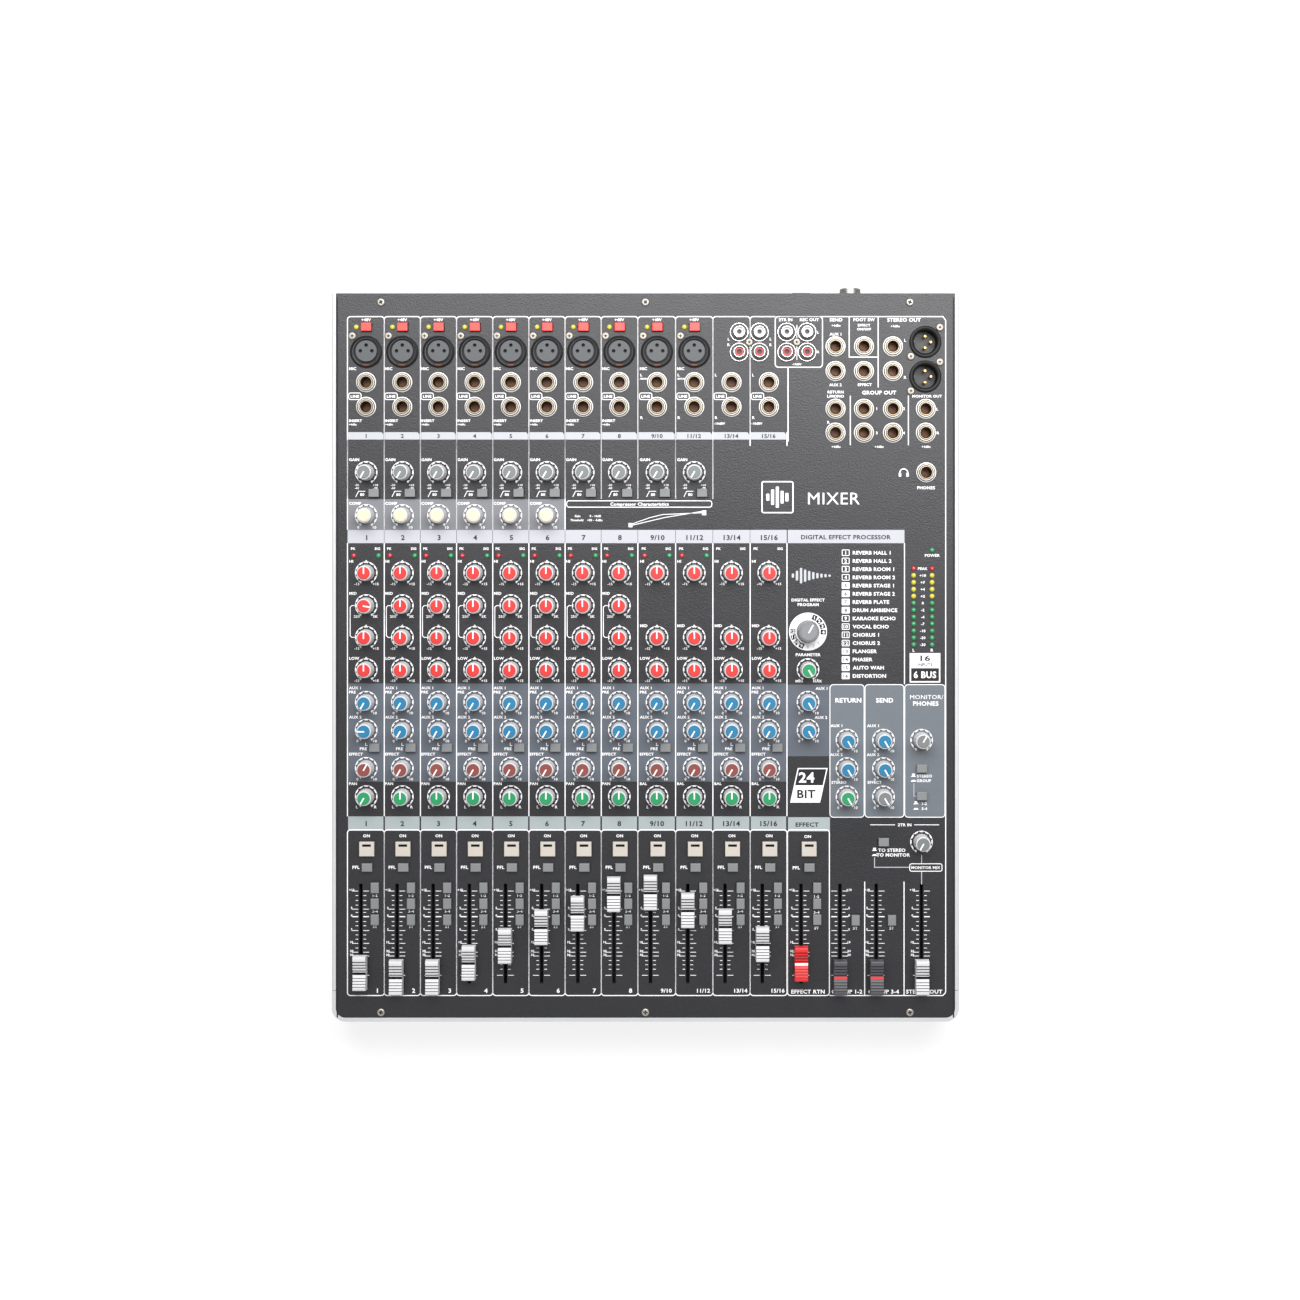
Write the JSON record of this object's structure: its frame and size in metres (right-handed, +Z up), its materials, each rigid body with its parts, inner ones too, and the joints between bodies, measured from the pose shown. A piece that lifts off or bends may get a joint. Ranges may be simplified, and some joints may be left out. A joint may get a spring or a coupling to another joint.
{
  "type": "audio mixing console",
  "caption": "Table-top audio mixing console with a sloping panel, rear sockets, colour-coded rotary knobs, push buttons, level meter and slide faders",
  "frame": {"origin": "middle of the overall footprint, on the resting surface", "axes": "+Z up; +Y toward the rear sockets; the operator sits at -Y; X runs across the channels"},
  "size_m": [0.446, 0.5256, 0.1021],
  "materials": {
    "panel_paint": "dark grey satin paint",
    "case_paint": "black satin paint on folded sheet",
    "silver_trim": "silver satin moulding",
    "foot_rubber": "black rubber",
    "nickel": "nickel plated",
    "socket_black": "black moulding",
    "jack_metal": "bright turned metal",
    "phono_metal": "plated sleeve in a coloured collar",
    "lamp_lens": "tinted lens",
    "board_green": "green circuit board",
    "pot_steel": "pressed steel case",
    "knob_red": "red cap on a light grey body",
    "knob_blue": "blue cap on a light grey body",
    "knob_brown": "brown cap on a light grey body",
    "knob_green": "green cap on a light grey body",
    "knob_cream": "plain cream",
    "knob_grey": "grey cap on a light grey body",
    "fader_white": "white, black centre line",
    "fader_red": "red, white centre line",
    "fader_dark": "dark grey, red centre line",
    "button_red": "red",
    "button_grey": "mid grey",
    "button_cream": "cream with a dark lamp window",
    "button_silver": "light grey"
  },
  "bodies": {
    "console": {"top_panel": "panel_paint", "base_pan": "case_paint", "rear_panel": "case_paint", "side_rail_left": "silver_trim", "side_rail_right": "silver_trim", "front_trim": "silver_trim", "rubber_feet": "foot_rubber", "panel_screws": "nickel", "socket_screws": "nickel", "mic_sockets": "socket_black", "xlr_outputs": "socket_black", "phone_jacks": "jack_metal", "jack_nuts": "jack_metal", "phono_sockets": "phono_metal", "indicator_lamps": "lamp_lens", "main_board": "board_green", "fader_bodies": "pot_steel", "rotary_pots": "pot_steel", "switch_bodies": "socket_black", "dc_inlet": "nickel", "power_rocker_frame": "socket_black", "knobs_red": "knob_red", "knobs_blue": "knob_blue", "knobs_brown": "knob_brown", "knobs_green": "knob_green", "knobs_cream": "knob_cream", "knobs_grey": "knob_grey"},
    "fader_ch1": {"fader_ch1": "fader_white"},
    "fader_ch2": {"fader_ch2": "fader_white"},
    "fader_ch3": {"fader_ch3": "fader_white"},
    "fader_ch4": {"fader_ch4": "fader_white"},
    "fader_ch5": {"fader_ch5": "fader_white"},
    "fader_ch6": {"fader_ch6": "fader_white"},
    "fader_ch7": {"fader_ch7": "fader_white"},
    "fader_ch8": {"fader_ch8": "fader_white"},
    "fader_ch9_10": {"fader_ch9_10": "fader_white"},
    "fader_ch11_12": {"fader_ch11_12": "fader_white"},
    "fader_ch13_14": {"fader_ch13_14": "fader_white"},
    "fader_ch15_16": {"fader_ch15_16": "fader_white"},
    "fader_effect": {"fader_effect": "fader_red"},
    "fader_group_1_2": {"fader_group_1_2": "fader_dark"},
    "fader_group_3_4": {"fader_group_3_4": "fader_dark"},
    "fader_stereo": {"fader_stereo": "fader_white"},
    "knob_gain_ch1": {"knob_gain_ch1": "knob_grey"},
    "knob_comp_ch1": {"knob_comp_ch1": "knob_cream"},
    "knob_high_ch1": {"knob_high_ch1": "knob_red"},
    "knob_mid_freq_ch1": {"knob_mid_freq_ch1": "knob_red"},
    "knob_mid_ch1": {"knob_mid_ch1": "knob_red"},
    "knob_low_ch1": {"knob_low_ch1": "knob_red"},
    "knob_aux1_ch1": {"knob_aux1_ch1": "knob_blue"},
    "knob_aux2_ch1": {"knob_aux2_ch1": "knob_blue"},
    "knob_effect_ch1": {"knob_effect_ch1": "knob_brown"},
    "knob_pan_ch1": {"knob_pan_ch1": "knob_green"},
    "knob_program": {"knob_program": "knob_grey"},
    "knob_monitor": {"knob_monitor": "knob_grey"},
    "buttons_phantom": {"buttons_phantom": "button_red"},
    "buttons_small": {"buttons_small": "button_grey"},
    "buttons_on": {"buttons_on": "button_cream"},
    "buttons_assign": {"buttons_assign": "button_silver"},
    "power_rocker": {"power_rocker": "socket_black"}
  },
  "joints": [
    {"name": "fader_ch1_slide", "type": "slide", "parent": "console", "child": "fader_ch1", "axis": [0, 0.9962, 0.0872], "range_m": [-0.003, 0.057]},
    {"name": "fader_ch2_slide", "type": "slide", "parent": "console", "child": "fader_ch2", "axis": [0, 0.9962, 0.0872], "range_m": [0, 0.06]},
    {"name": "fader_ch3_slide", "type": "slide", "parent": "console", "child": "fader_ch3", "axis": [0, 0.9962, 0.0872], "range_m": [0, 0.06]},
    {"name": "fader_ch4_slide", "type": "slide", "parent": "console", "child": "fader_ch4", "axis": [0, 0.9962, 0.0872], "range_m": [-0.0102, 0.0498]},
    {"name": "fader_ch5_slide", "type": "slide", "parent": "console", "child": "fader_ch5", "axis": [0, 0.9962, 0.0872], "range_m": [-0.0222, 0.0378]},
    {"name": "fader_ch6_slide", "type": "slide", "parent": "console", "child": "fader_ch6", "axis": [0, 0.9962, 0.0872], "range_m": [-0.0354, 0.0246]},
    {"name": "fader_ch7_slide", "type": "slide", "parent": "console", "child": "fader_ch7", "axis": [0, 0.9962, 0.0872], "range_m": [-0.045, 0.015]},
    {"name": "fader_ch8_slide", "type": "slide", "parent": "console", "child": "fader_ch8", "axis": [0, 0.9962, 0.0872], "range_m": [-0.0588, 0.0012]},
    {"name": "fader_ch9_10_slide", "type": "slide", "parent": "console", "child": "fader_ch9_10", "axis": [0, 0.9962, 0.0872], "range_m": [-0.06, 0]},
    {"name": "fader_ch11_12_slide", "type": "slide", "parent": "console", "child": "fader_ch11_12", "axis": [0, 0.9962, 0.0872], "range_m": [-0.0474, 0.0126]},
    {"name": "fader_ch13_14_slide", "type": "slide", "parent": "console", "child": "fader_ch13_14", "axis": [0, 0.9962, 0.0872], "range_m": [-0.036, 0.024]},
    {"name": "fader_ch15_16_slide", "type": "slide", "parent": "console", "child": "fader_ch15_16", "axis": [0, 0.9962, 0.0872], "range_m": [-0.0234, 0.0366]},
    {"name": "fader_effect_slide", "type": "slide", "parent": "console", "child": "fader_effect", "axis": [0, 0.9962, 0.0872], "range_m": [-0.0096, 0.0504]},
    {"name": "fader_group_1_2_slide", "type": "slide", "parent": "console", "child": "fader_group_1_2", "axis": [0, 0.9962, 0.0872], "range_m": [0, 0.06]},
    {"name": "fader_group_3_4_slide", "type": "slide", "parent": "console", "child": "fader_group_3_4", "axis": [0, 0.9962, 0.0872], "range_m": [0, 0.06]},
    {"name": "fader_stereo_slide", "type": "slide", "parent": "console", "child": "fader_stereo", "axis": [0, 0.9962, 0.0872], "range_m": [0, 0.06]},
    {"name": "knob_gain_ch1_turn", "type": "hinge", "parent": "console", "child": "knob_gain_ch1", "pos_m": [-0.1986, 0.12635, 0.08604], "axis": [0, 0.0872, -0.9962], "range_deg": [0, 300]},
    {"name": "knob_comp_ch1_turn", "type": "hinge", "parent": "console", "child": "knob_comp_ch1", "pos_m": [-0.1986, 0.09587, 0.08338], "axis": [0, 0.0872, -0.9962], "range_deg": [0, 300]},
    {"name": "knob_high_ch1_turn", "type": "hinge", "parent": "console", "child": "knob_high_ch1", "pos_m": [-0.1986, 0.05522, 0.07982], "axis": [0, 0.0872, -0.9962], "range_deg": [-150, 150]},
    {"name": "knob_mid_freq_ch1_turn", "type": "hinge", "parent": "console", "child": "knob_mid_freq_ch1", "pos_m": [-0.1986, 0.03201, 0.07779], "axis": [0, 0.0872, -0.9962], "range_deg": [-250, 50]},
    {"name": "knob_mid_ch1_turn", "type": "hinge", "parent": "console", "child": "knob_mid_ch1", "pos_m": [-0.1986, 0.0095, 0.07582], "axis": [0, 0.0872, -0.9962], "range_deg": [-150, 150]},
    {"name": "knob_low_ch1_turn", "type": "hinge", "parent": "console", "child": "knob_low_ch1", "pos_m": [-0.1986, -0.01332, 0.07382], "axis": [0, 0.0872, -0.9962], "range_deg": [-150, 150]},
    {"name": "knob_aux1_ch1_turn", "type": "hinge", "parent": "console", "child": "knob_aux1_ch1", "pos_m": [-0.1986, -0.03643, 0.0718], "axis": [0, 0.0872, -0.9962], "range_deg": [0, 300]},
    {"name": "knob_aux2_ch1_turn", "type": "hinge", "parent": "console", "child": "knob_aux2_ch1", "pos_m": [-0.1986, -0.05625, 0.07007], "axis": [0, 0.0872, -0.9962], "range_deg": [-60, 240]},
    {"name": "knob_effect_ch1_turn", "type": "hinge", "parent": "console", "child": "knob_effect_ch1", "pos_m": [-0.1986, -0.08325, 0.06771], "axis": [0, 0.0872, -0.9962], "range_deg": [-180, 120]},
    {"name": "knob_pan_ch1_turn", "type": "hinge", "parent": "console", "child": "knob_pan_ch1", "pos_m": [-0.1986, -0.10327, 0.06595], "axis": [0, 0.0872, -0.9962], "range_deg": [0, 300]},
    {"name": "knob_program_turn", "type": "hinge", "parent": "console", "child": "knob_program", "pos_m": [0.1156, 0.01358, 0.07618], "axis": [0, 0.0872, -0.9962], "range_deg": [-180, 120]},
    {"name": "knob_monitor_turn", "type": "hinge", "parent": "console", "child": "knob_monitor", "pos_m": [0.1964, -0.06333, 0.06945], "axis": [0, 0.0872, -0.9962], "range_deg": [-180, 120]},
    {"name": "buttons_phantom_press", "type": "slide", "parent": "console", "child": "buttons_phantom", "axis": [0, 0.0872, -0.9962], "range_m": [0, 0.0018], "stiffness_N_per_m": 600, "springref_m": -0.001},
    {"name": "buttons_small_press", "type": "slide", "parent": "console", "child": "buttons_small", "axis": [0, 0.0872, -0.9962], "range_m": [0, 0.0018], "stiffness_N_per_m": 600, "springref_m": -0.001},
    {"name": "buttons_on_press", "type": "slide", "parent": "console", "child": "buttons_on", "axis": [0, 0.0872, -0.9962], "range_m": [0, 0.0018], "stiffness_N_per_m": 600, "springref_m": -0.001},
    {"name": "buttons_assign_press", "type": "slide", "parent": "console", "child": "buttons_assign", "axis": [0, 0.0872, -0.9962], "range_m": [0, 0.0018], "stiffness_N_per_m": 600, "springref_m": -0.001},
    {"name": "power_rocker_tip", "type": "hinge", "parent": "console", "child": "power_rocker", "pos_m": [0.112, 0.25326, 0.06115], "axis": [1, 0, 0], "range_deg": [0, 20]}
  ]
}
